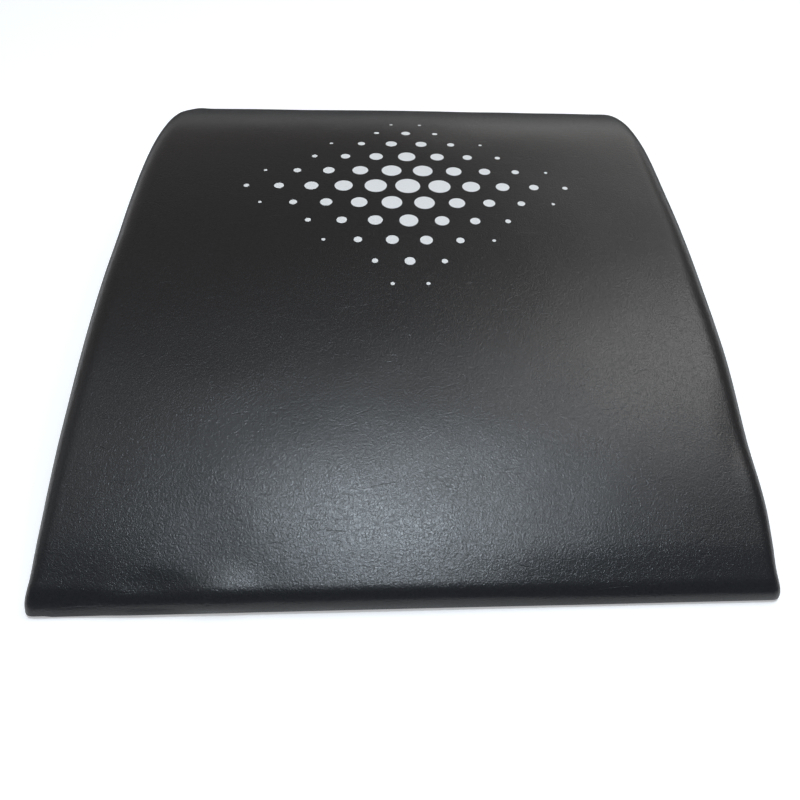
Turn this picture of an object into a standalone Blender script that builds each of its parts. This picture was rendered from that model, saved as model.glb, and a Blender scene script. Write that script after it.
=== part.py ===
"""An arched exercise mat: a firm foam core in a sewn vinyl cover that closes with a zip across its rear wall.

Units are metres and +Z is up. The origin is on the floor under the middle of the mat. The thin front lip is
at -Y and the tall rear end, with the zip, is at +Y. The zip is closed, with its slider at the -X end.
"""

from math import atan2, cos, pi, sin, sqrt

import bmesh
import bpy
from mathutils import Matrix, Vector

# The mat's form
MAT_WIDTH = 0.305
MAT_LENGTH = 0.394
CROWN_HEIGHT = 0.064
CROWN_TO_REAR = 0.128
LIP_HEIGHT = 0.0085
REAR_HEIGHT = 0.0262
FRONT_FILLET = 0.0095
REAR_FILLET = 0.012
EDGE_RADIUS = 0.015
CORNER_RADIUS = 0.003
SIDE_LEAN = 0.001

# The gap that touching pieces keep, and how far a cutter runs past what it cuts
GAP = 0.0003
OVERRUN = 0.002

# The cover
VINYL = 0.001
HEM_WIDTH = 0.009
BASE_THICKNESS = 0.0012
BASE_EDGE = 0.0004

# The zip: its place, its tapes and its beads
ZIP_HEIGHT = 0.012
SLOT_INSET = 0.0275
SLOT_HEIGHT = 0.0102
TAPE_THICKNESS = 0.0006
TAPE_REACH = 0.0089
TAPE_OVERLAP = 0.006
BEAD_RADIUS = 0.0006
BEAD_OFFSET = 0.0024

# The teeth and stops
TOOTH_PITCH = 0.003
TOOTH_HEAD = 0.0017
TOOTH_THICKNESS = 0.0024
TOOTH_CHAMFER = 0.0003
STOP_LENGTH = 0.002
STOP_HEIGHT = 0.0018
BOTTOM_STOP_LENGTH = 0.0035
CHAIN_END_MARGIN = 0.003

# The slider
SLIDER_LENGTH = 0.012
SLIDER_PLATE = 0.001
SLIDER_WALL = 0.0009
MOUTH_FLARE = 0.0006
POST_LENGTH = 0.003
POST_WIDTH = 0.0022
SLIDER_CORNER = 0.0012
BAIL_LENGTH = 0.0068
BAIL_WIDTH = 0.0016
BAIL_WIRE = 0.0008

# The pull tab
PULL_LENGTH = 0.022
PULL_WIDTH = 0.007
PULL_THICKNESS = 0.0014
PULL_PIN = 0.0012
PULL_ARM = 0.0012
PULL_CORNER = 0.002
PULL_ROUNDING = 0.0003

# How finely the curves are cut
FILLET_STEPS = 5
FRONT_ARCH_STEPS = 16
REAR_ARCH_STEPS = 10
EDGE_STEPS = 5
BEAD_SIDES = 6
CORNER_STEPS = 3

# What follows from the sizes above
FRONT_Y = -MAT_LENGTH / 2
REAR_Y = MAT_LENGTH / 2
CROWN_Y = REAR_Y - CROWN_TO_REAR
SEAM_Z = BASE_THICKNESS + GAP
HEM_TOP = SEAM_Z + VINYL
SLOT_LENGTH = MAT_WIDTH - 2 * SLOT_INSET
TAPE_DEPTH = VINYL + GAP
CHAIN_DEPTH = TAPE_DEPTH + TAPE_THICKNESS / 2
TAPE_LENGTH = SLOT_LENGTH + 2 * TAPE_OVERLAP
BEAD_TOP = BEAD_OFFSET + BEAD_RADIUS
HEAD_TIP = BEAD_OFFSET - BEAD_RADIUS - GAP
TOOTH_NECK = TOOTH_PITCH - TOOTH_HEAD - 2 * GAP
CHANNEL_HALF = BEAD_TOP + GAP
CHANNEL_DEPTH_HALF = TOOTH_THICKNESS / 2 + GAP
SLIDER_DEPTH_HALF = CHANNEL_DEPTH_HALF + SLIDER_PLATE
SLIDER_HALF = CHANNEL_HALF + SLIDER_WALL
SLIDER_X = -SLOT_LENGTH / 2 + CHAIN_END_MARGIN + STOP_LENGTH + GAP + SLIDER_LENGTH / 2
SLIDER_FRONT = SLIDER_X - SLIDER_LENGTH / 2
CHAIN_START = SLIDER_FRONT + POST_LENGTH + 2 * GAP + TOOTH_HEAD / 2
BOTTOM_STOP_X = SLOT_LENGTH / 2 - CHAIN_END_MARGIN
CHAIN_END = BOTTOM_STOP_X - BOTTOM_STOP_LENGTH - GAP - TOOTH_HEAD / 2
PLATE_OUT = SLIDER_DEPTH_HALF - CHAIN_DEPTH
PIN_OUT = PLATE_OUT + GAP + PULL_THICKNESS / 2
BAIL_OUT = PIN_OUT + PULL_THICKNESS / 2 + GAP + BAIL_WIRE
FOAM_RELIEF = CHAIN_DEPTH + SLIDER_DEPTH_HALF + GAP


def new_collection(name):
    """Add a collection to the scene."""
    collection = bpy.data.collections.new(name)
    bpy.context.scene.collection.children.link(collection)
    return collection


def new_material(name, colour, roughness, metallic=0.0):
    """A plain Principled material."""
    finish = bpy.data.materials.new(name)
    finish.use_nodes = True
    shader = finish.node_tree.nodes["Principled BSDF"]
    shader.inputs["Base Color"].default_value = (*colour, 1.0)
    shader.inputs["Roughness"].default_value = roughness
    shader.inputs["Metallic"].default_value = metallic
    finish.diffuse_color = (*colour, 1.0)
    return finish


def add_piece(name, bm, finish, origin=Vector()):
    """Make a sub-part of a closed bmesh, with its origin at the given point."""
    bmesh.ops.recalc_face_normals(bm, faces=bm.faces)
    bm.transform(Matrix.Translation(-origin))
    mesh = bpy.data.meshes.new(name)
    bm.to_mesh(mesh)
    bm.free()
    mesh.shade_smooth()
    mesh.set_sharp_from_angle(angle=pi / 6)
    mesh.materials.append(finish)
    piece = bpy.data.objects.new(name, mesh)
    piece.location = origin
    parts.objects.link(piece)
    return piece


def add_cutter(name, bm):
    """Make a cutter of a closed bmesh."""
    bmesh.ops.recalc_face_normals(bm, faces=bm.faces)
    mesh = bpy.data.meshes.new(name)
    bm.to_mesh(mesh)
    bm.free()
    cutter = bpy.data.objects.new(name, mesh)
    cutter.hide_render = True
    cutter.display_type = "WIRE"
    cutters.objects.link(cutter)
    return cutter


def combine(piece, other, operation):
    """Join another object to a piece or cut it away."""
    boolean = piece.modifiers.new(f"{operation.lower()} {other.name}", "BOOLEAN")
    boolean.operation = operation
    boolean.solver = "EXACT"
    boolean.object = other


def block(low, high):
    """A box between two corners."""
    bm = bmesh.new()
    bmesh.ops.create_cube(bm, size=1.0)
    size = [b - a for a, b in zip(low, high)]
    middle = [(a + b) / 2 for a, b in zip(low, high)]
    bmesh.ops.scale(bm, vec=size, verts=bm.verts)
    bmesh.ops.translate(bm, vec=middle, verts=bm.verts)
    return bm


def zip_block(along, depth, height):
    """A box given as ranges along the zip, in from the rear wall and up from the zip's centre line."""
    low = (along[0], REAR_Y - depth[1], ZIP_HEIGHT + height[0])
    high = (along[1], REAR_Y - depth[0], ZIP_HEIGHT + height[1])
    return block(low, high)


def zip_plate(outline, depth):
    """A flat plate whose outline lies in the rear wall's plane, between two depths from that wall."""
    bm = bmesh.new()
    corners = [bm.verts.new((x, REAR_Y - depth[0], ZIP_HEIGHT + z)) for x, z in outline]
    face = bm.faces.new(corners)
    grown = bmesh.ops.extrude_face_region(bm, geom=[face])
    moved = [item for item in grown["geom"] if isinstance(item, bmesh.types.BMVert)]
    bmesh.ops.translate(bm, vec=(0, depth[0] - depth[1], 0), verts=moved)
    return bm


def arc(centre, radius, start, end, steps):
    """Points along an arc in the YZ plane, each with its outward normal and the arc's radius."""
    spots = []
    for step in range(steps + 1):
        turn = start + (end - start) * step / steps
        normal = (cos(turn), sin(turn))
        point = (centre[0] + radius * normal[0], centre[1] + radius * normal[1])
        spots.append((point, normal, radius))
    return spots


def half_arch(end_y, end_height, fillet):
    """Radius and centre height of one of the two crown arcs, then its end fillet's radius, centre and last angle.

    The fillet is no larger than the wall under it allows: it ends just above the seam.
    """
    reach = abs(end_y - CROWN_Y)
    rise = CROWN_HEIGHT - end_height
    radius = (reach**2 + rise**2) / (2 * rise)
    centre_z = CROWN_HEIGHT - radius
    lowest = SEAM_Z + GAP - centre_z
    fillet = min(fillet, (radius**2 - reach**2 - lowest**2) / (2 * (radius - reach)))
    fillet_y = end_y - fillet if end_y > 0 else end_y + fillet
    fillet_z = centre_z + sqrt((radius - fillet) ** 2 - (fillet_y - CROWN_Y) ** 2)
    turn = atan2(fillet_z - centre_z, fillet_y - CROWN_Y)
    return radius, centre_z, fillet, (fillet_y, fillet_z), turn


def side_profile(floor):
    """The mat's outer side outline, from the foot of the front lip over the crown to the foot of the rear wall."""
    radius, centre_z, fillet, middle, turn = half_arch(FRONT_Y, LIP_HEIGHT, FRONT_FILLET)
    spots = [((FRONT_Y, floor), (-1.0, 0.0), fillet)]
    spots += arc(middle, fillet, pi, turn, FILLET_STEPS)
    spots += arc((CROWN_Y, centre_z), radius, turn, pi / 2, FRONT_ARCH_STEPS)[1:]
    radius, centre_z, fillet, middle, turn = half_arch(REAR_Y, REAR_HEIGHT, REAR_FILLET)
    spots += arc((CROWN_Y, centre_z), radius, pi / 2, turn, REAR_ARCH_STEPS)[1:]
    spots += arc(middle, fillet, turn, 0.0, FILLET_STEPS)[1:]
    spots.append(((REAR_Y, floor), (1.0, 0.0), fillet))
    return spots


def half_width(z):
    """The mat's outer half width: the sides lean in towards the crown."""
    return MAT_WIDTH / 2 - SIDE_LEAN * z / CROWN_HEIGHT


def edge_rounding(height, limit):
    """The rounding of the long edges, small at the floor and growing with the mat's height."""
    rounding = CORNER_RADIUS + (EDGE_RADIUS - CORNER_RADIUS) * height / CROWN_HEIGHT
    return min(rounding, limit)


def edge_point(side, turn, spot, depth):
    """A point of the rounded pad, drawn in by depth, on the section at one turn of its long edge."""
    (y, z), normal, radius = spot
    rounding = edge_rounding(z, radius)
    inward = depth + (rounding - depth) * (1 - sin(turn))
    y -= normal[0] * inward
    z -= normal[1] * inward
    x = half_width(z) - depth - (rounding - depth) * (1 - cos(turn))
    return (side * x, y, z)


def pad_body(depth, floor):
    """The closed form of the pad, drawn in by depth on every side, with a flat underside at floor."""
    bm = bmesh.new()
    outline = side_profile(floor)
    turns = [pi / 2 * step / EDGE_STEPS for step in range(EDGE_STEPS + 1)]
    stations = [(-1, turn) for turn in turns] + [(1, turn) for turn in reversed(turns)]
    sections = [[bm.verts.new(edge_point(side, turn, spot, depth)) for spot in outline] for side, turn in stations]
    for near, far in zip(sections, sections[1:]):
        for step in range(len(outline) - 1):
            bm.faces.new((near[step], near[step + 1], far[step + 1], far[step]))
    feet = []
    for side, section in ((-1, sections[0]), (1, sections[-1])):
        first = FILLET_STEPS + 1
        last = len(outline) - FILLET_STEPS - 1
        crown = section[first:last]
        foot = [bm.verts.new((side * (half_width(floor) - depth), v.co.y, floor)) for v in crown]
        for step in range(len(crown) - 1):
            bm.faces.new((crown[step], crown[step + 1], foot[step + 1], foot[step]))
        bm.faces.new(section[: first + 1] + [foot[0]])
        bm.faces.new(section[last - 1 :] + [foot[-1]])
        feet.append(foot)
    front_edge = [section[0] for section in sections]
    rear_edge = [section[-1] for section in reversed(sections)]
    bm.faces.new(front_edge + feet[1] + rear_edge + feet[0][::-1])
    return bm


def make_cover():
    """The vinyl shell: open inside its hem below, with a slot for the zip in its rear wall."""
    cover = add_piece("cover_upper", pad_body(0, SEAM_Z), vinyl)
    shell = cover.modifiers.new("vinyl", "SOLIDIFY")
    shell.thickness = VINYL
    shell.offset = -1
    shell.use_even_offset = True
    opening = (MAT_WIDTH / 2 - HEM_WIDTH, MAT_LENGTH / 2 - HEM_WIDTH)
    mouth = block((-opening[0], -opening[1], SEAM_Z - OVERRUN), (opening[0], opening[1], HEM_TOP + OVERRUN))
    combine(cover, add_cutter("hem_opening", mouth), "DIFFERENCE")
    slot = zip_block(
        (-SLOT_LENGTH / 2, SLOT_LENGTH / 2), (-OVERRUN, VINYL + OVERRUN), (-SLOT_HEIGHT / 2, SLOT_HEIGHT / 2)
    )
    combine(cover, add_cutter("zip_slot", slot), "DIFFERENCE")


def make_base():
    """The non-slip sheet: the lowest slice of the mat's form, drawn in a little under the hem."""
    bm = pad_body(BASE_EDGE, 0)
    geometry = bm.verts[:] + bm.edges[:] + bm.faces[:]
    bmesh.ops.bisect_plane(
        bm, geom=geometry, plane_co=(0, 0, BASE_THICKNESS), plane_no=(0, 0, 1), clear_outer=True
    )
    rim = [edge for edge in bm.edges if edge.is_boundary]
    bmesh.ops.contextual_create(bm, geom=rim)
    add_piece("base_panel", bm, base_sheet)


def make_foam():
    """The foam block, rebated over the hem and relieved behind the zip."""
    foam = add_piece("foam_core", pad_body(VINYL + GAP, SEAM_Z), foam_grey)
    reach = (MAT_WIDTH / 2, MAT_LENGTH / 2)
    rebate_top = HEM_TOP + GAP
    rebate = add_cutter("hem_rebate", block((-reach[0], -reach[1], 0), (reach[0], reach[1], rebate_top)))
    inner = (reach[0] - HEM_WIDTH - GAP, reach[1] - HEM_WIDTH - GAP)
    island = block((-inner[0], -inner[1], -OVERRUN), (inner[0], inner[1], rebate_top + OVERRUN))
    combine(rebate, add_cutter("rebate_island", island), "DIFFERENCE")
    combine(foam, rebate, "DIFFERENCE")
    half = TAPE_LENGTH / 2 + GAP
    reach = TAPE_REACH + GAP
    relief = zip_block((-half, half), (-OVERRUN, FOAM_RELIEF), (-reach, reach))
    combine(foam, add_cutter("zip_relief", relief), "DIFFERENCE")


def tooth_outline(x, side):
    """One tooth: a narrow neck out of the bead and a wide head past the zip's centre line."""
    neck = TOOTH_NECK / 2
    head = TOOTH_HEAD / 2
    shoulder = -GAP / 2
    tip = -HEAD_TIP
    half = [(neck, BEAD_OFFSET), (neck, shoulder), (head, shoulder), (head, tip + TOOTH_CHAMFER)]
    half.append((head - TOOTH_CHAMFER, tip))
    left = [(-across, height) for across, height in reversed(half)]
    return [(x + across, side * height) for across, height in half + left]


def make_teeth(name, side, offset):
    """One row of teeth on its bead; the other row's heads sit between its necks."""
    start = CHAIN_START - TOOTH_HEAD / 2
    end = CHAIN_END + TOOTH_HEAD / 2
    bm = bmesh.new()
    turned = Matrix.Rotation(pi / 2, 4, "Y")
    placed = Matrix.Translation(((start + end) / 2, REAR_Y - CHAIN_DEPTH, ZIP_HEIGHT + side * BEAD_OFFSET))
    bmesh.ops.create_cone(
        bm, cap_ends=True, segments=BEAD_SIDES, radius1=BEAD_RADIUS, radius2=BEAD_RADIUS, depth=end - start,
        matrix=placed @ turned,
    )
    row = add_piece(name, bm, tooth_plastic)
    depth = (CHAIN_DEPTH - TOOTH_THICKNESS / 2, CHAIN_DEPTH + TOOTH_THICKNESS / 2)
    teeth = bmesh.new()
    x = CHAIN_START + offset
    while x <= CHAIN_END:
        tooth = zip_plate(tooth_outline(x, side), depth)
        mesh = bpy.data.meshes.new("tooth")
        tooth.to_mesh(mesh)
        tooth.free()
        teeth.from_mesh(mesh)
        bpy.data.meshes.remove(mesh)
        x += TOOTH_PITCH
    combine(row, add_cutter(f"{name}_heads", teeth), "UNION")


def make_tape(name, side):
    """One woven tape, between its bead and its far edge, behind the rear wall."""
    half = TAPE_LENGTH / 2
    edges = sorted((side * (BEAD_TOP + GAP), side * TAPE_REACH))
    add_piece(name, zip_block((-half, half), (TAPE_DEPTH, TAPE_DEPTH + TAPE_THICKNESS), edges), tape_black)


def make_stops():
    """A stop on each bead at the closed end, and one across both rows at the far end."""
    depth = (CHAIN_DEPTH - TOOTH_THICKNESS / 2, CHAIN_DEPTH + TOOTH_THICKNESS / 2)
    end = SLIDER_FRONT - GAP
    for name, side in (("zip_stop_upper", 1), ("zip_stop_lower", -1)):
        height = sorted((side * (BEAD_TOP - STOP_HEIGHT), side * BEAD_TOP))
        add_piece(name, zip_block((end - STOP_LENGTH, end), depth, height), tooth_plastic)
    along = (BOTTOM_STOP_X - BOTTOM_STOP_LENGTH, BOTTOM_STOP_X)
    add_piece("zip_bottom_stop", zip_block(along, depth, (-BEAD_TOP, BEAD_TOP)), tooth_plastic)


def slider_outline(throat, mouth, overrun):
    """The slider's tapered outline: straight at its throat and wider at its mouth, with cut corners."""
    rear = SLIDER_X + SLIDER_LENGTH / 2 + overrun
    front = SLIDER_FRONT - overrun
    corner = 0 if overrun else SLIDER_CORNER
    upper = [(rear, throat - corner), (rear - corner, throat), (SLIDER_X, throat)]
    upper += [(SLIDER_FRONT + SLIDER_CORNER, mouth), (front, mouth - corner)]
    spots = upper + [(x, -z) for x, z in reversed(upper)]
    return [spot for step, spot in enumerate(spots) if spot != spots[step - 1]]


def make_slider():
    """The slider: two wings joined by a post at the mouth, with walls round both beads and a bail outside."""
    depth = (CHAIN_DEPTH - SLIDER_DEPTH_HALF, CHAIN_DEPTH + SLIDER_DEPTH_HALF)
    body = zip_plate(slider_outline(SLIDER_HALF, SLIDER_HALF + MOUTH_FLARE, 0), depth)
    origin = Vector((SLIDER_X, REAR_Y - CHAIN_DEPTH, ZIP_HEIGHT))
    slider = add_piece("zip_slider", body, slider_black, origin)
    depth = (CHAIN_DEPTH - CHANNEL_DEPTH_HALF, CHAIN_DEPTH + CHANNEL_DEPTH_HALF)
    channel = zip_plate(slider_outline(CHANNEL_HALF, CHANNEL_HALF + MOUTH_FLARE, OVERRUN), depth)
    combine(slider, add_cutter("slider_channel", channel), "DIFFERENCE")
    along = (SLIDER_FRONT - OVERRUN, SLIDER_X + SLIDER_LENGTH / 2 + OVERRUN)
    reach = SLIDER_HALF + MOUTH_FLARE + OVERRUN
    tape_slot = zip_block(along, (TAPE_DEPTH - GAP, TAPE_DEPTH + TAPE_THICKNESS + GAP), (-reach, reach))
    combine(slider, add_cutter("slider_tape_slot", tape_slot), "DIFFERENCE")
    depth = (CHAIN_DEPTH - SLIDER_DEPTH_HALF + SLIDER_PLATE / 2, CHAIN_DEPTH + SLIDER_DEPTH_HALF - SLIDER_PLATE / 2)
    post = [(SLIDER_FRONT, 0), (SLIDER_FRONT + POST_LENGTH / 2, POST_WIDTH / 2)]
    post += [(SLIDER_FRONT + POST_LENGTH, 0), (SLIDER_FRONT + POST_LENGTH / 2, -POST_WIDTH / 2)]
    combine(slider, add_cutter("slider_post", zip_plate(post, depth)), "UNION")
    combine(slider, add_cutter("slider_bail", bail_form()), "UNION")
    return slider


def bail_form():
    """The bail: a low bridge along the slider's outer wing that keeps the pull's pin under it."""
    half = BAIL_LENGTH / 2
    foot = REAR_Y + PLATE_OUT - SLIDER_PLATE / 2
    top = REAR_Y + BAIL_OUT
    outer = [(half, foot), (half, top - BAIL_WIRE), (half - BAIL_WIRE, top)]
    inner = [(half - BAIL_WIRE, foot), (half - BAIL_WIRE, top - 2 * BAIL_WIRE), (half - 2 * BAIL_WIRE, top - BAIL_WIRE)]
    outline = outer + [(-x, y) for x, y in reversed(outer)]
    outline += [(-x, y) for x, y in inner] + inner[::-1]
    bm = bmesh.new()
    corners = [bm.verts.new((SLIDER_X + x, y, ZIP_HEIGHT - BAIL_WIDTH / 2)) for x, y in outline]
    grown = bmesh.ops.extrude_face_region(bm, geom=[bm.faces.new(corners)])
    moved = [item for item in grown["geom"] if isinstance(item, bmesh.types.BMVert)]
    bmesh.ops.translate(bm, vec=(0, 0, BAIL_WIDTH), verts=moved)
    return bm


def rounded_outline(low, high, radius):
    """A rectangle with rounded corners."""
    spots = []
    corners = ((high[0], high[1], 0), (low[0], high[1], 1), (low[0], low[1], 2), (high[0], low[1], 3))
    for x, z, quarter in corners:
        centre_x = x - radius if x == high[0] else x + radius
        centre_z = z - radius if z == high[1] else z + radius
        for step in range(CORNER_STEPS + 1):
            turn = pi / 2 * (quarter + step / CORNER_STEPS)
            spots.append((centre_x + radius * cos(turn), centre_z + radius * sin(turn)))
    return spots


def make_pull(slider):
    """The pull tab: a plate with a window whose end bar, the hinge pin, lies under the bail."""
    origin = Vector((SLIDER_X, REAR_Y + PIN_OUT, ZIP_HEIGHT))
    depth = (-PIN_OUT - PULL_THICKNESS / 2, -PIN_OUT + PULL_THICKNESS / 2)
    start = SLIDER_X - PULL_PIN / 2
    outline = rounded_outline((start, -PULL_WIDTH / 2), (start + PULL_LENGTH, PULL_WIDTH / 2), PULL_CORNER)
    pull = add_piece("zip_pull", zip_plate(outline, depth), slider_black, origin)
    window_half = PULL_WIDTH / 2 - PULL_ARM
    along = (start + PULL_PIN, start + PULL_PIN + BAIL_LENGTH / 2 + GAP)
    window = zip_block(along, (depth[0] - OVERRUN, depth[1] + OVERRUN), (-window_half, window_half))
    combine(pull, add_cutter("pull_window", window), "DIFFERENCE")
    rounding = pull.modifiers.new("rounding", "BEVEL")
    rounding.width = PULL_ROUNDING
    rounding.segments = 1
    rounding.limit_method = "ANGLE"
    rounding.angle_limit = pi / 3
    pull.parent = slider
    pull.location = origin - slider.location


for old in list(bpy.data.objects):
    bpy.data.objects.remove(old, do_unlink=True)

parts = new_collection("ab_mat")
cutters = new_collection("cutters")

vinyl = new_material("black_vinyl", (0.012, 0.012, 0.013), 0.42)
base_sheet = new_material("base_sheet", (0.015, 0.015, 0.015), 0.8)
foam_grey = new_material("foam_grey", (0.09, 0.09, 0.10), 0.95)
tape_black = new_material("tape_black", (0.012, 0.012, 0.012), 0.85)
tooth_plastic = new_material("tooth_plastic", (0.014, 0.014, 0.014), 0.35)
slider_black = new_material("slider_black", (0.02, 0.02, 0.02), 0.35, 0.8)

make_cover()
make_base()
make_foam()
make_tape("zip_tape_upper", 1)
make_tape("zip_tape_lower", -1)
make_teeth("zip_teeth_upper", 1, 0)
make_teeth("zip_teeth_lower", -1, TOOTH_PITCH / 2)
make_stops()
make_pull(make_slider())
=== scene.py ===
"""The looks of an arched exercise mat in black grained vinyl, with a zip across its rear wall.

Metres, +Z up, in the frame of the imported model: the thin front lip is at -Y and the zip at +Y.
"""

from math import atan2, ceil, cos, pi, sin, sqrt

import bmesh
import bpy
from mathutils import Matrix, Vector, noise
from mathutils.bvhtree import BVHTree


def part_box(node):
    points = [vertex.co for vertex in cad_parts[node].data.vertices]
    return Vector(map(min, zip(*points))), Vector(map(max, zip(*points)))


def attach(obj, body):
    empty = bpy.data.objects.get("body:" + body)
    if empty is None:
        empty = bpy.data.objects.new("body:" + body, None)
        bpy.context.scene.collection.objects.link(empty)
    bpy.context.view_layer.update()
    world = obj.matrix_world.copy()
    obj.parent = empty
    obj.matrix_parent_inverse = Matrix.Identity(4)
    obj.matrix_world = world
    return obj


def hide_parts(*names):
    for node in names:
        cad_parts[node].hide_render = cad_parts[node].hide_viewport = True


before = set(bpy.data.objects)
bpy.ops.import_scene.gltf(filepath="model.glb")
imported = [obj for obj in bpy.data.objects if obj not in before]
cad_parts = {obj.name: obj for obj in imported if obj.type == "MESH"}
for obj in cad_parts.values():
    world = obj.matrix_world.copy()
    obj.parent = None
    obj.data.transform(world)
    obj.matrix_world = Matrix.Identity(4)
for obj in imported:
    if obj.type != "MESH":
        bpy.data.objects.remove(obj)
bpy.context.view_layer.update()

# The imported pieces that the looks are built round
cover_low, cover_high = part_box("cover_upper")
base_low, base_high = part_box("base_panel")

# The mat's form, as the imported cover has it
FRONT_Y = cover_low.y
REAR_Y = cover_high.y
LENGTH = REAR_Y - FRONT_Y
BASE_EDGE = 0.0004
HALF_WIDTH = (base_high.x - base_low.x) / 2 + BASE_EDGE
CROWN_Z = cover_high.z
SEAM_Z = cover_low.z
CROWN_TO_REAR = 0.128
CROWN_Y = REAR_Y - CROWN_TO_REAR
LIP_HEIGHT = 0.0085
REAR_HEIGHT = 0.0262
FRONT_FILLET = 0.0095
REAR_FILLET = 0.012
EDGE_RADIUS = 0.015
CORNER_RADIUS = 0.003
SIDE_LEAN = 0.001

# How far the crown falls from its middle to its sides
CROWN_FALL = 0.0011

# Places along the mat, and how far the left and the right side stand out from a straight line there
SIDE_LINE = (
    (-0.197, 0.0014, 0.0000),
    (-0.188, 0.0002, -0.0011),
    (-0.178, 0.0001, -0.0001),
    (-0.165, 0.0003, 0.0009),
    (-0.148, 0.0007, 0.0004),
    (-0.120, 0.0008, 0.0010),
    (-0.085, 0.0007, 0.0014),
    (-0.045, 0.0005, 0.0004),
    (0.000, -0.0005, -0.0003),
    (0.050, 0.0001, -0.0009),
    (0.100, 0.0004, -0.0008),
    (0.150, 0.0005, 0.0003),
    (0.197, 0.0004, 0.0006),
)

# The columns of that table for the two sides
LEFT, RIGHT = 1, 2

# How far in from a side its offset reaches, and the steps along the mat over which it is averaged
SIDE_REACH = 0.040
SIDE_STEP = 0.002
SIDE_STEPS = range(-2, 3)

# Soft dents and swells of the vinyl over the foam: place x and y, reach in x and y, and height
SOFT_SPOTS = (
    (-0.105, -0.1920, 0.011, 0.0055, -0.0010),
    (-0.078, -0.1930, 0.010, 0.0070, 0.0008),
    (0.147, -0.125, 0.007, 0.020, -0.0008),
    (0.150, -0.150, 0.006, 0.010, 0.0005),
    (-0.1441, 0.165, 0.003, 0.010, -0.0009),
    (-0.1355, 0.167, 0.003, 0.010, 0.00045),
)

# Slow and quicker waves of the vinyl: height, and noise cells to the metre
SLOW_WAVE = 0.00045
SLOW_CELLS = 13
QUICK_WAVE = 0.0002
QUICK_CELLS = 37

# Waves, dents and swells fade out over the hem, and for the most part towards the rear wall
HEM_FADE = 0.004
REAR_FADE = 0.9
REAR_FADE_START = 0.020
REAR_FADE_REACH = 0.015

# The lip's left end tapers: where that begins and is full, how far its top lies back, and how deep it reaches
TAPER_START = -0.110
TAPER_FULL = -0.138
TAPER_BACK = 0.0030
TAPER_REACH = 0.030

# Towards the right the top falls further behind the lip: where along the lip, how far back and how deep
FALL_START = 0.000
FALL_FULL = 0.080
FALL_REACH = 0.020
FALL_DEPTH = 0.0013

# How finely the cover is cut before its last subdivision
CUTS_ACROSS = 82
CUTS_ALONG = 106
CUTS_UP = 11

# How much closer together the cuts lie near the ends, and what still counts as an end
END_DENSITY = 0.6
END_SHARE = 0.0001

# The slot for the zip in the rear wall
ZIP_Z = 0.012
SLOT_HALF_LENGTH = 0.125
SLOT_HALF_HEIGHT = 0.0051
SLOT_DEPTH = 0.006

# The turned edge round the slot: its roll's radius, sides and longest step, the share of the radius that it
# is sunk in, and how far outside the slot the wall's place is taken
TURNED_EDGE = 0.0007
ROLL_SIDES = 8
ROLL_STEP = 0.006
ROLL_SINK = 0.55
ROLL_SEAT = 0.002

# How far behind the rear wall a ray starts that finds its place
RAY_START = 0.05

# The stitches beside the slot; how far one bulges and how far it is raised are shares of its thickness
STITCH_LENGTH = 0.0032
STITCH_PITCH = 0.0040
STITCH_THICKNESS = 0.00055
STITCH_INSET = 0.0024
STITCH_BULGE = 0.6
STITCH_RAISE = 0.3

# The foam block: its cuts, how far it stays from the front, how much it is shorter, lower and narrower on
# each side than the mat, and how high it lies
FOAM_CUTS = (24, 30, 3)
FOAM_FRONT = 0.020
FOAM_SHORTER = 0.036
FOAM_LOWER = 0.009
FOAM_NARROWER = 0.018
FOAM_FLOOR = 0.004

# The base sheet: its cuts, how far it stays inside the cover, and its height as a share of a dot's height
SHEET_CUTS = (30, 38, 1)
SHEET_INSET = 0.0012
SHEET_RAISE = 0.8

# The grip dots under the base sheet, in a staggered lattice
DOT_PITCH = 0.0085
DOT_RADIUS = 0.0016
DOT_HEIGHT = 0.00035
DOT_TAPER = 0.7
DOT_SIDES = 8
DOT_MARGIN = 0.008
ROW_SHARE = sqrt(0.75)

# Edges that bend more than this stay sharp
SHARP_ANGLE = pi / 5


def clamp(value, low=0.0, high=1.0):
    """Keep a value between two limits."""
    return max(low, min(high, value))


def smooth(value):
    """A soft step from 0 to 1."""
    value = clamp(value)
    return value * value * (3 - 2 * value)


def finish_piece(name, bm, material, body="mat", smooth_faces=True):
    """Make a visible piece of a bmesh, give it its finish and let it ride on a body."""
    mesh = bpy.data.meshes.new(name)
    bm.to_mesh(mesh)
    bm.free()
    mesh.materials.append(material)
    if smooth_faces:
        mesh.shade_smooth()
        mesh.set_sharp_from_angle(angle=SHARP_ANGLE)
    piece = bpy.data.objects.new(name, mesh)
    bpy.context.scene.collection.objects.link(piece)
    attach(piece, body)
    return piece


def gridded_block(cuts):
    """A block from -1 to 1 on each axis, cut into a grid."""
    bm = bmesh.new()
    bmesh.ops.create_cube(bm, size=2)
    for axis, count in enumerate(cuts):
        edges = [e for e in bm.edges if abs(e.verts[0].co[axis] - e.verts[1].co[axis]) > 0.01]
        bmesh.ops.subdivide_edges(bm, edges=edges, cuts=count)
    return bm


def half_arch(end_y, end_height, fillet):
    """Radius and centre height of one of the two crown arcs, and its end fillet's centre and first angle."""
    rise = CROWN_Z - end_height
    radius = ((end_y - CROWN_Y) ** 2 + rise**2) / (2 * rise)
    centre_z = CROWN_Z - radius
    fillet_y = end_y - fillet if end_y > 0 else end_y + fillet
    fillet_z = centre_z + sqrt((radius - fillet) ** 2 - (fillet_y - CROWN_Y) ** 2)
    return radius, centre_z, (fillet_y, fillet_z), atan2(fillet_z - centre_z, fillet_y - CROWN_Y)


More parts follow.
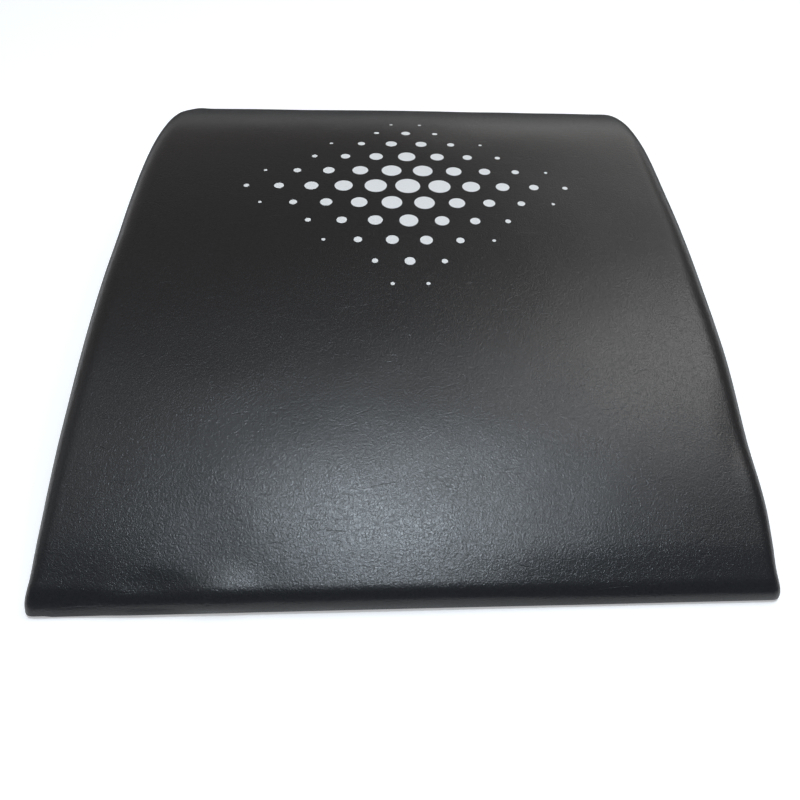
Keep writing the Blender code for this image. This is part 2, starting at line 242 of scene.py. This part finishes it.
def side_profile():
    """The stretches of the mat's side outline, from the lip's foot over the crown to the rear's foot.

    Each is its length, its arc's centre, radius and first angle, and the round that limits its long edges.
    """
    front_radius, front_z, front_fillet, front_turn = half_arch(FRONT_Y, LIP_HEIGHT, FRONT_FILLET)
    rear_radius, rear_z, rear_fillet, rear_turn = half_arch(REAR_Y, REAR_HEIGHT, REAR_FILLET)
    return [
        (front_fillet[1] - SEAM_Z, (FRONT_Y, SEAM_Z), 0, pi, FRONT_FILLET),
        (FRONT_FILLET * (pi - front_turn), front_fillet, FRONT_FILLET, pi, FRONT_FILLET),
        (front_radius * (front_turn - pi / 2), (CROWN_Y, front_z), front_radius, front_turn, front_radius),
        (rear_radius * (pi / 2 - rear_turn), (CROWN_Y, rear_z), rear_radius, pi / 2, rear_radius),
        (REAR_FILLET * rear_turn, rear_fillet, REAR_FILLET, rear_turn, REAR_FILLET),
        (rear_fillet[1] - SEAM_Z, (REAR_Y, rear_fillet[1]), 0, 0, REAR_FILLET),
    ]


PROFILE = side_profile()
PROFILE_LENGTH = sum(stretch[0] for stretch in PROFILE)
PROFILE_STOPS = (
    0,
    PROFILE[0][0] + PROFILE[1][0] / 2,
    PROFILE_LENGTH - PROFILE[5][0] - PROFILE[4][0] / 2,
    PROFILE_LENGTH,
)


def dense_ends(share):
    """Spread places from 0 to 1 so that they lie closer together at both ends."""
    return share - END_DENSITY * sin(2 * pi * share) / (2 * pi)


def station(along):
    """A place on the side outline, with its outward normal and the round of the long edges there.

    The place runs from 0 to 1 up the front, from 1 to 2 over the top and from 2 to 3 down the rear.
    """
    part = min(int(along), 2)
    share = along - part
    if part == 1:
        share = dense_ends(share)
    left = PROFILE_STOPS[part] + (PROFILE_STOPS[part + 1] - PROFILE_STOPS[part]) * share
    for length, centre, radius, turn, limit in PROFILE:
        if left <= length or length == PROFILE[-1][0]:
            break
        left -= length
    if radius:
        turn -= left / radius
        y, z = centre[0] + radius * cos(turn), centre[1] + radius * sin(turn)
    else:
        y, z = centre[0], centre[1] + left * (1 if turn else -1)
    rounding = CORNER_RADIUS + (EDGE_RADIUS - CORNER_RADIUS) * z / CROWN_Z
    return y, z, (cos(turn), sin(turn)), min(rounding, limit)


def arch_height(y):
    """Height of the mat's top line between its end rounds."""
    centre, radius = PROFILE[3][1:3] if y > CROWN_Y else PROFILE[2][1:3]
    return centre[1] + sqrt(radius**2 - (y - CROWN_Y) ** 2)


def half_width(z):
    """Half the mat's width at a height: the sides lean in towards the crown."""
    return HALF_WIDTH - SIDE_LEAN * z / CROWN_Z


def swept_point(out, along):
    """A point of the outline's sweep, at a share of the way out to the side wall."""
    y, z, normal, rounding = station(along)
    flat = half_width(z) - rounding
    reach = (flat + rounding * pi / 2) * (out + END_DENSITY * sin(pi * out) / pi)
    if reach < flat:
        return Vector((reach, y, z))
    turn = pi / 2 - (reach - flat) / rounding
    inward = rounding * (1 - sin(turn))
    return Vector((flat + rounding * cos(turn), y - normal[0] * inward, z - normal[1] * inward))


def wall_point(along, up):
    """A point of the side wall, blended between its four edges."""
    share = dense_ends(along)
    foot = swept_point(1, 0).lerp(swept_point(1, 3), share)
    top = swept_point(1, 1 + along)
    ends = swept_point(1, up).lerp(swept_point(1, 3 - up), share)
    corners = swept_point(1, 0).lerp(swept_point(1, 3), share).lerp(
        swept_point(1, 1).lerp(swept_point(1, 2), share), up
    )
    spot = foot.lerp(top, up) + ends - corners
    return Vector((half_width(spot.z), spot.y, spot.z))


def side_line(y, column):
    """The soft offset of a side at a place along the mat."""
    total = 0.0
    for step in SIDE_STEPS:
        spot = clamp(y + SIDE_STEP * step, SIDE_LINE[0][0], SIDE_LINE[-1][0])
        for near, far in zip(SIDE_LINE, SIDE_LINE[1:]):
            if spot <= far[0]:
                share = (spot - near[0]) / (far[0] - near[0])
                total += near[column] + (far[column] - near[column]) * share
                break
    return total / len(SIDE_STEPS)


def soft_swell(spot):
    """How far the vinyl stands out at a point: slow waves and a few soft spots."""
    swell = SLOW_WAVE * noise.noise(spot * SLOW_CELLS) + QUICK_WAVE * noise.noise(spot * QUICK_CELLS)
    for x, y, reach_x, reach_y, height in SOFT_SPOTS:
        far = sqrt(((spot.x - x) / reach_x) ** 2 + ((spot.y - y) / reach_y) ** 2)
        swell += height * smooth(1 - far / 2)
    return swell


def pad_point(place):
    """Where a point of the gridded block lies on the pad with its rounded edges."""
    side = 1 if place.x > 0 else -1
    out = abs(place.x)
    along = (place.y + 1) / 2
    up = (place.z + 1) / 2
    if out > 1 - END_SHARE:
        spot = wall_point(along, up)
    elif up > 1 - END_SHARE:
        spot = swept_point(out, 1 + along)
    elif along < END_SHARE:
        spot = swept_point(out, up)
    elif along > 1 - END_SHARE:
        spot = swept_point(out, 3 - up)
    else:
        spot = swept_point(out, 0).lerp(swept_point(out, 3), dense_ends(along))
    spot.z -= CROWN_FALL * (spot.x / HALF_WIDTH) ** 2 * spot.z / CROWN_Z
    column = LEFT if side < 0 else RIGHT
    spot.x += side_line(spot.y, column) * smooth((spot.x - HALF_WIDTH + SIDE_REACH) / SIDE_REACH)
    spot.x *= side
    taper = smooth((TAPER_START - spot.x) / (TAPER_START - TAPER_FULL)) * clamp(spot.z / LIP_HEIGHT)
    spot.y += TAPER_BACK * taper * smooth((FRONT_Y + TAPER_REACH - spot.y) / TAPER_REACH)
    fall = smooth((spot.x - FALL_START) / (FALL_FULL - FALL_START)) * clamp(spot.z / LIP_HEIGHT)
    spot.z -= FALL_DEPTH * fall * smooth((FRONT_Y + FALL_REACH - spot.y) / FALL_REACH)
    return spot


def make_cover(vinyl):
    """The vinyl cover: the whole rounded form, with the slot for the zip cut into its rear wall."""
    bm = gridded_block((CUTS_ACROSS, CUTS_ALONG, CUTS_UP))
    for vert in bm.verts:
        vert.co = pad_point(vert.co)
    bmesh.ops.recalc_face_normals(bm, faces=bm.faces)
    bm.normal_update()
    shifts = []
    for vert in bm.verts:
        spot = vert.co
        hold = smooth((spot.z - SEAM_Z) / HEM_FADE)
        hold *= 1 - REAR_FADE * smooth((spot.y - REAR_Y + REAR_FADE_START) / REAR_FADE_REACH)
        shifts.append(vert.normal * soft_swell(spot) * hold)
    for vert, shift in zip(bm.verts, shifts):
        vert.co += shift
    cover = finish_piece("mat_cover", bm, vinyl)
    soften = cover.modifiers.new("soften", "SUBSURF")
    soften.levels = 1
    soften.render_levels = 1
    slot = bmesh.new()
    bmesh.ops.create_cube(slot, size=2)
    size = (SLOT_HALF_LENGTH, SLOT_DEPTH, SLOT_HALF_HEIGHT)
    bmesh.ops.scale(slot, vec=size, verts=slot.verts)
    bmesh.ops.translate(slot, vec=(0, REAR_Y, ZIP_Z), verts=slot.verts)
    cutter_mesh = bpy.data.meshes.new("slot_cutter")
    slot.to_mesh(cutter_mesh)
    slot.free()
    cutter = bpy.data.objects.new("slot_cutter", cutter_mesh)
    bpy.context.scene.collection.objects.link(cutter)
    cut = cover.modifiers.new("slot", "BOOLEAN")
    cut.object = cutter
    cut.operation = "DIFFERENCE"
    cut.solver = "EXACT"
    bake_modifiers(cover)
    bpy.data.objects.remove(cutter)
    bpy.data.meshes.remove(cutter_mesh)
    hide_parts("cover_upper")
    return cover


def bake_modifiers(piece):
    """Apply every modifier of a piece to its mesh."""
    bpy.context.view_layer.update()
    shown = piece.evaluated_get(bpy.context.evaluated_depsgraph_get())
    mesh = bpy.data.meshes.new_from_object(shown)
    old = piece.data
    piece.modifiers.clear()
    piece.data = mesh
    bpy.data.meshes.remove(old)


def rear_surface(cover):
    """A function that gives the rear wall's place at x and z."""
    tree = BVHTree.FromObject(cover, bpy.context.evaluated_depsgraph_get())

    def seat(x, z):
        spot = tree.ray_cast(Vector((x, REAR_Y + RAY_START, z)), Vector((0, -1, 0)))[0]
        return spot.y if spot else REAR_Y

    return seat


def make_slot_edge(vinyl, seat):
    """The vinyl's turned edge round the slot, as a thin roll."""
    bm = bmesh.new()
    half_x = SLOT_HALF_LENGTH
    half_z = SLOT_HALF_HEIGHT
    corners = [(-half_x, -half_z), (half_x, -half_z), (half_x, half_z), (-half_x, half_z)]
    path = []
    for (x0, z0), (x1, z1) in zip(corners, corners[1:] + corners[:1]):
        steps = max(3, ceil(abs(x1 - x0) / ROLL_STEP))
        for step in range(steps):
            share = step / steps
            path.append((x0 + (x1 - x0) * share, z0 + (z1 - z0) * share))
    rings = []
    for step, (x, z) in enumerate(path):
        before = Vector(path[step - 1])
        after = Vector(path[(step + 1) % len(path)])
        along = (after - before).normalized()
        out = Vector((along.y, -along.x))
        y = seat(x + out.x * ROLL_SEAT, ZIP_Z + z + out.y * ROLL_SEAT)
        turn = Matrix(((out.x, 0, along.x), (0, 1, 0), (out.y, 0, along.y))).to_4x4()
        place = Matrix.Translation((x, y - TURNED_EDGE * ROLL_SINK, ZIP_Z + z))
        made = bmesh.ops.create_circle(bm, segments=ROLL_SIDES, radius=TURNED_EDGE, matrix=place @ turn)
        rings.append(list({edge for vert in made["verts"] for edge in vert.link_edges}))
    for near, far in zip(rings, rings[1:] + rings[:1]):
        bmesh.ops.bridge_loops(bm, edges=near + far)
    bmesh.ops.recalc_face_normals(bm, faces=bm.faces)
    return finish_piece("slot_turned_edge", bm, vinyl)


def make_foam(foam):
    """The firm foam block inside the cover, set back from the lip and behind the zip."""
    bm = gridded_block(FOAM_CUTS)
    for vert in bm.verts:
        y = FRONT_Y + FOAM_FRONT + (LENGTH - FOAM_SHORTER) * (vert.co.y + 1) / 2
        rise = arch_height(y) - FOAM_LOWER
        height = FOAM_FLOOR + rise * (vert.co.z + 1) / 2
        vert.co = (vert.co.x * (HALF_WIDTH - FOAM_NARROWER), y, height)
    bmesh.ops.recalc_face_normals(bm, faces=bm.faces)
    block = finish_piece("foam_block", bm, foam)
    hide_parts("foam_core")


def make_stitches(thread, seat):
    """Two rows of lock stitches that hold the zip's tapes, above and below the slot, and one at each end."""
    bm = bmesh.new()
    half_x = SLOT_HALF_LENGTH + STITCH_INSET
    half_z = SLOT_HALF_HEIGHT + STITCH_INSET
    runs = [((-half_x, half_z), (half_x, half_z)), ((-half_x, -half_z), (half_x, -half_z))]
    runs += [((-half_x, -half_z), (-half_x, half_z)), ((half_x, -half_z), (half_x, half_z))]
    for start, end in runs:
        start, end = Vector(start), Vector(end)
        count = max(1, round((end - start).length / STITCH_PITCH))
        along = (end - start).normalized()
        for step in range(count):
            middle = start + (end - start) * (step + 0.5) / count
            y = seat(middle.x, ZIP_Z + middle.y)
            flat = Matrix(((along.x, 0, -along.y), (0, 1, 0), (along.y, 0, along.x))).to_4x4()
            bulge = STITCH_THICKNESS * STITCH_BULGE
            size = Matrix.Diagonal((STITCH_LENGTH / 2, bulge, STITCH_THICKNESS / 2, 1))
            place = Matrix.Translation((middle.x, y + STITCH_THICKNESS * STITCH_RAISE, ZIP_Z + middle.y))
            bmesh.ops.create_uvsphere(bm, u_segments=8, v_segments=6, radius=1, matrix=place @ flat @ size)
    return finish_piece("zip_stitches", bm, thread)


def make_base_sheet(sheet, rubber):
    """The non-slip sheet with its grip dots underneath."""
    bm = gridded_block(SHEET_CUTS)
    bottom = DOT_HEIGHT * SHEET_RAISE
    for vert in bm.verts:
        x, y, z = vert.co
        flat_x = abs(x) * HALF_WIDTH
        flat_y = abs(y) * LENGTH / 2
        past_x = max(flat_x - HALF_WIDTH + CORNER_RADIUS, 0)
        past_y = max(flat_y - LENGTH / 2 + CORNER_RADIUS, 0)
        reach = sqrt(past_x**2 + past_y**2)
        if past_x > 0 and past_y > 0:
            flat_x = HALF_WIDTH - CORNER_RADIUS + CORNER_RADIUS * past_x / reach
            flat_y = LENGTH / 2 - CORNER_RADIUS + CORNER_RADIUS * past_y / reach
        line = side_line(flat_y * (1 if y > 0 else -1), LEFT if x < 0 else RIGHT)
        flat_x += (line - SHEET_INSET) * smooth((flat_x - HALF_WIDTH + SIDE_REACH) / SIDE_REACH)
        flat_y -= SHEET_INSET * smooth(2 * flat_y / LENGTH)
        height = base_high.z if z > 0 else bottom
        vert.co = (flat_x * (1 if x > 0 else -1), flat_y * (1 if y > 0 else -1), height)
    bmesh.ops.recalc_face_normals(bm, faces=bm.faces)
    base = finish_piece("base_sheet", bm, sheet)
    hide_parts("base_panel")
    dots = bmesh.new()
    reach_x = HALF_WIDTH - DOT_MARGIN
    reach_y = LENGTH / 2 - DOT_MARGIN
    rows = int(reach_y * 2 / (DOT_PITCH * ROW_SHARE))
    for row in range(rows + 1):
        y = -reach_y + 2 * reach_y * row / rows
        columns = int(reach_x * 2 / DOT_PITCH) - row % 2
        for column in range(columns + 1):
            x = (column - columns / 2) * DOT_PITCH
            place = Matrix.Translation((x, y, DOT_HEIGHT / 2))
            bmesh.ops.create_cone(
                dots, cap_ends=True, segments=DOT_SIDES, radius1=DOT_RADIUS * DOT_TAPER, radius2=DOT_RADIUS,
                depth=DOT_HEIGHT, matrix=place,
            )
    finish_piece("grip_dots", dots, rubber)


def new_material(name):
    """A node material with its Principled shader."""
    material = bpy.data.materials.new(name)
    material.use_nodes = True
    return material, material.node_tree, material.node_tree.nodes["Principled BSDF"]


def add_node(tree, kind, **values):
    """Add a node and set its properties."""
    made = tree.nodes.new(kind)
    for name, value in values.items():
        setattr(made, name, value)
    return made


def feed(tree, socket, value):
    """Link a socket or set a constant."""
    if isinstance(value, bpy.types.NodeSocket):
        tree.links.new(value, socket)
    else:
        socket.default_value = value


def math(tree, operation, *values):
    """A Math node's result."""
    made = add_node(tree, "ShaderNodeMath", operation=operation)
    for socket, value in zip(made.inputs, values):
        feed(tree, socket, value)
    return made.outputs[0]


def remap(tree, value, low, high, new_low=0.0, new_high=1.0):
    """A smooth Map Range."""
    made = add_node(tree, "ShaderNodeMapRange", interpolation_type="SMOOTHSTEP")
    for socket, number in zip(made.inputs, (value, low, high, new_low, new_high)):
        feed(tree, socket, number)
    return made.outputs[0]


def new_group(name, inputs, outputs):
    """A node group with float or vector sockets."""
    group = bpy.data.node_groups.new(name, "ShaderNodeTree")
    for label, kind in inputs:
        group.interface.new_socket(label, in_out="INPUT", socket_type=kind)
    for label, kind in outputs:
        group.interface.new_socket(label, in_out="OUTPUT", socket_type=kind)
    return group, group.nodes.new("NodeGroupInput"), group.nodes.new("NodeGroupOutput")


def add_noise(tree, place, scale, detail, roughness=0.5, distortion=0.0):
    """A Noise Texture's node, at a place."""
    made = add_node(tree, "ShaderNodeTexNoise")
    labels = ("Vector", "Scale", "Detail", "Roughness", "Distortion")
    for label, value in zip(labels, (place, scale, detail, roughness, distortion)):
        feed(tree, made.inputs[label], value)
    return made


def build_grain():
    """Leather grain: fine streaky wrinkles, soft folds, and a few long faint creases.

    Its heights are in millimetres on the vinyl; its colour output is lowest in the hollows, as painted shade.
    """
    group, given, result = new_group(
        "leather_grain",
        [("Wrinkles per metre", "NodeSocketFloat")],
        [("Height", "NodeSocketFloat"), ("Hollow shade", "NodeSocketFloat")],
    )
    warp_reach = 0.0022
    crease_lean = -0.3
    crease_squeeze = 0.30
    crease_width = 0.012
    wrinkle_height = 0.105
    fold_height = 0.06
    crease_depth = 0.04
    place = add_node(group, "ShaderNodeTexCoord").outputs["Object"]
    warp = add_noise(group, place, scale=380, detail=2)
    shift = add_node(group, "ShaderNodeVectorMath", operation="MULTIPLY_ADD")
    feed(group, shift.inputs[0], warp.outputs["Color"])
    shift.inputs[1].default_value = (warp_reach, warp_reach, warp_reach)
    feed(group, shift.inputs[2], place)
    wrinkles = add_noise(group, shift.outputs[0], given.outputs[0], detail=1, distortion=0.8).outputs[0]
    folds = add_noise(group, place, scale=90, detail=3, roughness=0.65).outputs[0]
    lean = add_node(group, "ShaderNodeMapping")
    feed(group, lean.inputs["Vector"], place)
    lean.inputs["Rotation"].default_value = (0.0, 0.0, crease_lean)
    lean.inputs["Scale"].default_value = (crease_squeeze, 1.0, 1.0)
    creases = add_noise(group, lean.outputs[0], scale=75, detail=2, distortion=0.5).outputs[0]
    line = math(group, "ABSOLUTE", math(group, "SUBTRACT", creases, 0.5))
    line = remap(group, line, 0.0, crease_width, 1.0, 0.0)
    shown = remap(group, folds, 0.52, 0.62)
    height = math(group, "MULTIPLY", wrinkles, wrinkle_height)
    height = math(group, "MULTIPLY_ADD", folds, fold_height, height)
    height = math(group, "MULTIPLY_ADD", math(group, "MULTIPLY", line, shown), -crease_depth, height)
    feed(group, result.inputs["Height"], height)
    # Painted shade: the colour factor follows the wrinkles' height, so their hollows come out darker
    feed(group, result.inputs["Hollow shade"], remap(group, wrinkles, 0.35, 0.65))
    return group


def build_print():
    """Printed dots on a staggered lattice that shrink towards the edges of a wide lozenge."""
    group, given, result = new_group(
        "dot_print",
        [("Middle", "NodeSocketVector")],
        [("Ink", "NodeSocketFloat")],
    )
    pitch = 0.0175
    row_pitch = 0.0155
    half_x = 0.104
    half_y = 0.094
    largest = 0.0068
    least = 0.0007
    soft_edge = 0.0001
    shrink_from = 1.06
    place = add_node(group, "ShaderNodeTexCoord").outputs["Object"]
    centred = add_node(group, "ShaderNodeVectorMath", operation="SUBTRACT")
    feed(group, centred.inputs[0], place)
    feed(group, centred.inputs[1], given.outputs[0])
    split = add_node(group, "ShaderNodeSeparateXYZ")
    feed(group, split.inputs[0], centred.outputs[0])
    x, y = split.outputs[0], split.outputs[1]
    row = math(group, "ROUND", math(group, "DIVIDE", y, row_pitch))
    odd = math(group, "FLOORED_MODULO", row, 2.0)
    stagger = math(group, "MULTIPLY", odd, pitch / 2)
    column = math(group, "ROUND", math(group, "DIVIDE", math(group, "SUBTRACT", x, stagger), pitch))
    dot_x = math(group, "MULTIPLY_ADD", column, pitch, stagger)
    dot_y = math(group, "MULTIPLY", row, row_pitch)
    off_x = math(group, "SUBTRACT", x, dot_x)
    off_y = math(group, "SUBTRACT", y, dot_y)
    squares = math(group, "ADD", math(group, "POWER", off_x, 2.0), math(group, "POWER", off_y, 2.0))
    far = math(group, "SQRT", squares)
    share_x = math(group, "DIVIDE", math(group, "ABSOLUTE", dot_x), half_x)
    share_y = math(group, "DIVIDE", math(group, "ABSOLUTE", dot_y), half_y)
    out = math(group, "ADD", share_x, share_y)
    radius = math(group, "MULTIPLY", math(group, "SUBTRACT", shrink_from, out), largest)
    radius = math(group, "MINIMUM", radius, largest)
    inside = math(group, "SUBTRACT", radius, far)
    soft = remap(group, inside, -soft_edge, soft_edge)
    shown = math(group, "GREATER_THAN", radius, least)
    feed(group, result.inputs["Ink"], math(group, "MULTIPLY", soft, shown))
    return group


def place_group(tree, group, *values):
    """Put a node group in a material with its own values."""
    made = add_node(tree, "ShaderNodeGroup", node_tree=group)
    for socket, value in zip(made.inputs, values):
        feed(tree, socket, value)
    return made


def bump_normal(tree, height, distance, strength=1.0):
    """A Bump node's normal."""
    bump = add_node(tree, "ShaderNodeBump")
    bump.inputs["Strength"].default_value = strength
    bump.inputs["Distance"].default_value = distance
    feed(tree, bump.inputs["Height"], height)
    return bump.outputs["Normal"]


def two_tones(tree, factor, dark, light):
    """A mix of two colours by a factor."""
    made = add_node(tree, "ShaderNodeMix", data_type="RGBA")
    feed(tree, made.inputs["Factor"], factor)
    feed(tree, made.inputs["A"], dark)
    feed(tree, made.inputs["B"], light)
    return made.outputs["Result"]


def make_vinyl(grain, dots):
    """Black vinyl with a fine leather grain, painted shade in the grain's hollows, and the white print.

    Towards grazing views it is rougher and mirrors less.
    """
    wrinkles = 1200.0
    print_middle = (0.001, 0.030, 0.0)
    ink_height = 0.025
    ink_roughness = 0.12
    rim_roughness = 0.35
    material, tree, shader = new_material("black_grained_vinyl")
    skin = place_group(tree, grain, wrinkles)
    ink = place_group(tree, dots, print_middle).outputs["Ink"]
    # Painted shade: the black is darker where the grain's wrinkles are low
    vinyl_with_hollow_shade = two_tones(tree, skin.outputs["Hollow shade"], (0.0058, 0.006, 0.0070, 1), (0.0118, 0.0121, 0.0135, 1))
    feed(tree, shader.inputs["Base Color"], two_tones(tree, ink, vinyl_with_hollow_shade, (0.80, 0.80, 0.79, 1)))
    rough = remap(tree, skin.outputs["Hollow shade"], 0.0, 1.0, 0.33, 0.29)
    facing = add_node(tree, "ShaderNodeLayerWeight").outputs["Facing"]
    rim = remap(tree, facing, 0.70, 0.97)
    rough = math(tree, "MULTIPLY_ADD", rim, rim_roughness, rough)
    feed(tree, shader.inputs["Roughness"], math(tree, "MULTIPLY_ADD", ink, ink_roughness, rough))
    feed(tree, shader.inputs["Specular IOR Level"], remap(tree, facing, 0.50, 0.90, 0.5, 0.1))
    height = math(tree, "MULTIPLY_ADD", ink, ink_height, skin.outputs["Height"])
    feed(tree, shader.inputs["Normal"], bump_normal(tree, height, 0.001))
    return material


def make_plain(name, colour, roughness, grain, cells, depth, metallic=0.0):
    """A moulded, painted or sheet finish with a fine surface of its own, painted darker in its hollows as
    shade.
    """
    spread = 0.05
    material, tree, shader = new_material(name)
    skin = place_group(tree, grain, cells)
    # Painted shade: the colour is darker where the fine surface is low
    dark = (*(part * 0.75 for part in colour), 1)
    light = (*(part * 1.1 for part in colour), 1)
    feed(tree, shader.inputs["Base Color"], two_tones(tree, skin.outputs["Hollow shade"], dark, light))
    rough = remap(tree, skin.outputs["Hollow shade"], 0.0, 1.0, roughness + spread, roughness - spread)
    feed(tree, shader.inputs["Roughness"], rough)
    shader.inputs["Metallic"].default_value = metallic
    feed(tree, shader.inputs["Normal"], bump_normal(tree, skin.outputs["Height"], depth))
    return material


def make_weave(name, colour, pitch):
    """A woven tape or thread: ribs across and along, painted darker between the ribs as shade."""
    scale_per_rib = pi / 20
    wobble = 0.6
    material, tree, shader = new_material(name)
    place = add_node(tree, "ShaderNodeTexCoord").outputs["Object"]
    heights = []
    for turn, bands in (("X", 1.0), ("Z", 0.8)):
        ribs = add_node(tree, "ShaderNodeTexWave", bands_direction=turn)
        feed(tree, ribs.inputs["Vector"], place)
        ribs.inputs["Scale"].default_value = bands / pitch * scale_per_rib
        ribs.inputs["Distortion"].default_value = wobble
        heights.append(ribs.outputs["Fac"])
    height = math(tree, "MULTIPLY", heights[0], heights[1])
    # Painted shade: the colour is half as bright where the ribs are low
    dark = (*(part * 0.5 for part in colour), 1)
    feed(tree, shader.inputs["Base Color"], two_tones(tree, height, dark, (*colour, 1)))
    shader.inputs["Roughness"].default_value = 0.85
    shader.inputs["Sheen Weight"].default_value = 0.3
    feed(tree, shader.inputs["Normal"], bump_normal(tree, height, pitch / 3))
    return material


def dress(node, material):
    """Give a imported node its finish."""
    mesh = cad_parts[node].data
    mesh.materials.clear()
    mesh.materials.append(material)


def make_floor():
    """The pale floor, white to the camera and to reflections but for the mat's shadow."""
    half_size = 20
    gap = 0.0001
    glow = 0.39
    bm = bmesh.new()
    below = Matrix.Translation((0, 0, -gap))
    bmesh.ops.create_grid(bm, x_segments=1, y_segments=1, size=half_size, matrix=below)
    mesh = bpy.data.meshes.new("floor")
    bm.to_mesh(mesh)
    bm.free()
    floor = bpy.data.objects.new("floor", mesh)
    bpy.context.scene.collection.objects.link(floor)
    material, tree, shader = new_material("pale_floor")
    shader.inputs["Base Color"].default_value = (0.85, 0.85, 0.85, 1)
    shader.inputs["Roughness"].default_value = 0.9
    shader.inputs["Specular IOR Level"].default_value = 0.0
    path = add_node(tree, "ShaderNodeLightPath")
    seen = math(tree, "MAXIMUM", path.outputs["Is Camera Ray"], path.outputs["Is Glossy Ray"])
    seen = math(tree, "MAXIMUM", seen, path.outputs["Is Transmission Ray"])
    shader.inputs["Emission Color"].default_value = (1, 1, 1, 1)
    feed(tree, shader.inputs["Emission Strength"], math(tree, "MULTIPLY", seen, glow))
    mesh.materials.append(material)


def make_world():
    """A pale room, cooler in front and warmer behind."""
    world = bpy.data.worlds.new("room")
    world.use_nodes = True
    tree = world.node_tree
    split = add_node(tree, "ShaderNodeSeparateXYZ")
    feed(tree, split.inputs[0], add_node(tree, "ShaderNodeTexCoord").outputs["Generated"])
    cool = (0.180, 0.200, 0.236, 1)
    warm = (0.228, 0.208, 0.194, 1)
    blend = two_tones(tree, remap(tree, split.outputs[1], -0.5, 0.6), cool, warm)
    feed(tree, tree.nodes["Background"].inputs["Color"], blend)
    tree.nodes["Background"].inputs["Strength"].default_value = 1.0
    bpy.context.scene.world = world


def add_lamp(name, place, target, size, power, colour):
    """A soft area lamp that faces a point."""
    data = bpy.data.lights.new(name, "AREA")
    data.shape = "RECTANGLE"
    data.size, data.size_y = size
    data.energy = power
    data.color = colour
    lamp = bpy.data.objects.new(name, data)
    lamp.location = place
    lamp.rotation_euler = (Vector(target) - Vector(place)).to_track_quat("-Z", "Y").to_euler()
    bpy.context.scene.collection.objects.link(lamp)


def make_camera():
    """The camera at the photograph's place, with its slight pan and tilt."""
    pan, tilt, roll = -0.08981, 0.76677, -0.05419
    focal_pixels = 821.7
    picture_pixels = 800
    place = (-0.00866, -0.37654, 0.29253)
    right = Vector((cos(pan), sin(pan), 0))
    level = Vector((-sin(pan), cos(pan), 0))
    forward = level * cos(tilt) - Vector((0, 0, 1)) * sin(tilt)
    down = forward.cross(right)
    across = right * cos(roll) + down * sin(roll)
    under = down * cos(roll) - right * sin(roll)
    data = bpy.data.cameras.new("camera")
    data.sensor_width = 36
    data.lens = data.sensor_width * focal_pixels / picture_pixels
    data.shift_x = -0.0563
    data.shift_y = -0.0006
    data.clip_start = 0.01
    data.clip_end = 100
    camera = bpy.data.objects.new("camera", data)
    turn = Matrix((across, -under, -forward)).transposed().to_4x4()
    camera.matrix_world = Matrix.Translation(place) @ turn
    bpy.context.scene.collection.objects.link(camera)
    bpy.context.scene.camera = camera


grain = build_grain()
dots = build_print()
vinyl = make_vinyl(grain, dots)
thread = make_weave("black_thread", (0.045, 0.045, 0.047), pitch=0.0005)
tape_weave = make_weave("tape_weave", (0.02, 0.02, 0.021), pitch=0.0007)
sheet_finish = make_plain("base_sheet_cloth", (0.02, 0.02, 0.021), 0.8, grain, cells=1600.0, depth=0.0015)
dot_rubber = make_plain("grip_dot_rubber", (0.03, 0.03, 0.031), 0.55, grain, cells=2500.0, depth=0.0004)
tooth_finish = make_plain("moulded_teeth", (0.018, 0.018, 0.018), 0.38, grain, cells=3000.0, depth=0.0003)
slider_finish = make_plain(
    "painted_slider", (0.02, 0.02, 0.02), 0.3, grain, cells=3500.0, depth=0.0002, metallic=0.6
)
foam_finish = make_plain("open_foam", (0.08, 0.08, 0.085), 0.9, grain, cells=1200.0, depth=0.004)

make_camera()
make_floor()
make_world()
add_lamp(
    "overhead_window", place=(-0.012, -0.262, 1.33), target=(0.0, -0.16, 0.03), size=(0.27, 0.22),
    power=7.9, colour=(0.80, 0.91, 1.0),
)
add_lamp(
    "high_right", place=(1.0, 0.72, 2.19), target=(0.0, 0.0, 0.04), size=(0.85, 1.1),
    power=12.5, colour=(1.0, 0.985, 0.98),
)
add_lamp(
    "left_fill", place=(-1.9, 0.3, 1.1), target=(0.0, 0.0, 0.03), size=(1.0, 1.0),
    power=1.2, colour=(0.88, 0.95, 1.0),
)
add_lamp(
    "ceiling", place=(0.0, 0.26, 2.6), target=(0.0, 0.26, 0.0), size=(3.6, 1.1),
    power=8.2, colour=(0.97, 0.99, 1.0),
)
add_lamp(
    "rear_right", place=(1.25, 2.2, 1.7), target=(0.0, 0.0, 0.05), size=(1.3, 1.3),
    power=3.8, colour=(1.0, 0.99, 0.98),
)
add_lamp(
    "rear_low", place=(0.8, 2.6, 0.55), target=(0.0, 0.0, 0.05), size=(1.2, 0.6),
    power=2.0, colour=(1.0, 0.99, 0.98),
)

cover = make_cover(vinyl)
seat = rear_surface(cover)
make_slot_edge(vinyl, seat)
make_stitches(thread, seat)
make_base_sheet(sheet_finish, dot_rubber)
make_foam(foam_finish)
for node in ("zip_tape_upper", "zip_tape_lower"):
    dress(node, tape_weave)
for node in ("zip_teeth_upper", "zip_teeth_lower", "zip_stop_upper", "zip_stop_lower", "zip_bottom_stop"):
    dress(node, tooth_finish)
for node in ("zip_slider", "zip_pull"):
    dress(node, slider_finish)

scene = bpy.context.scene
scene.view_settings.view_transform = "Standard"
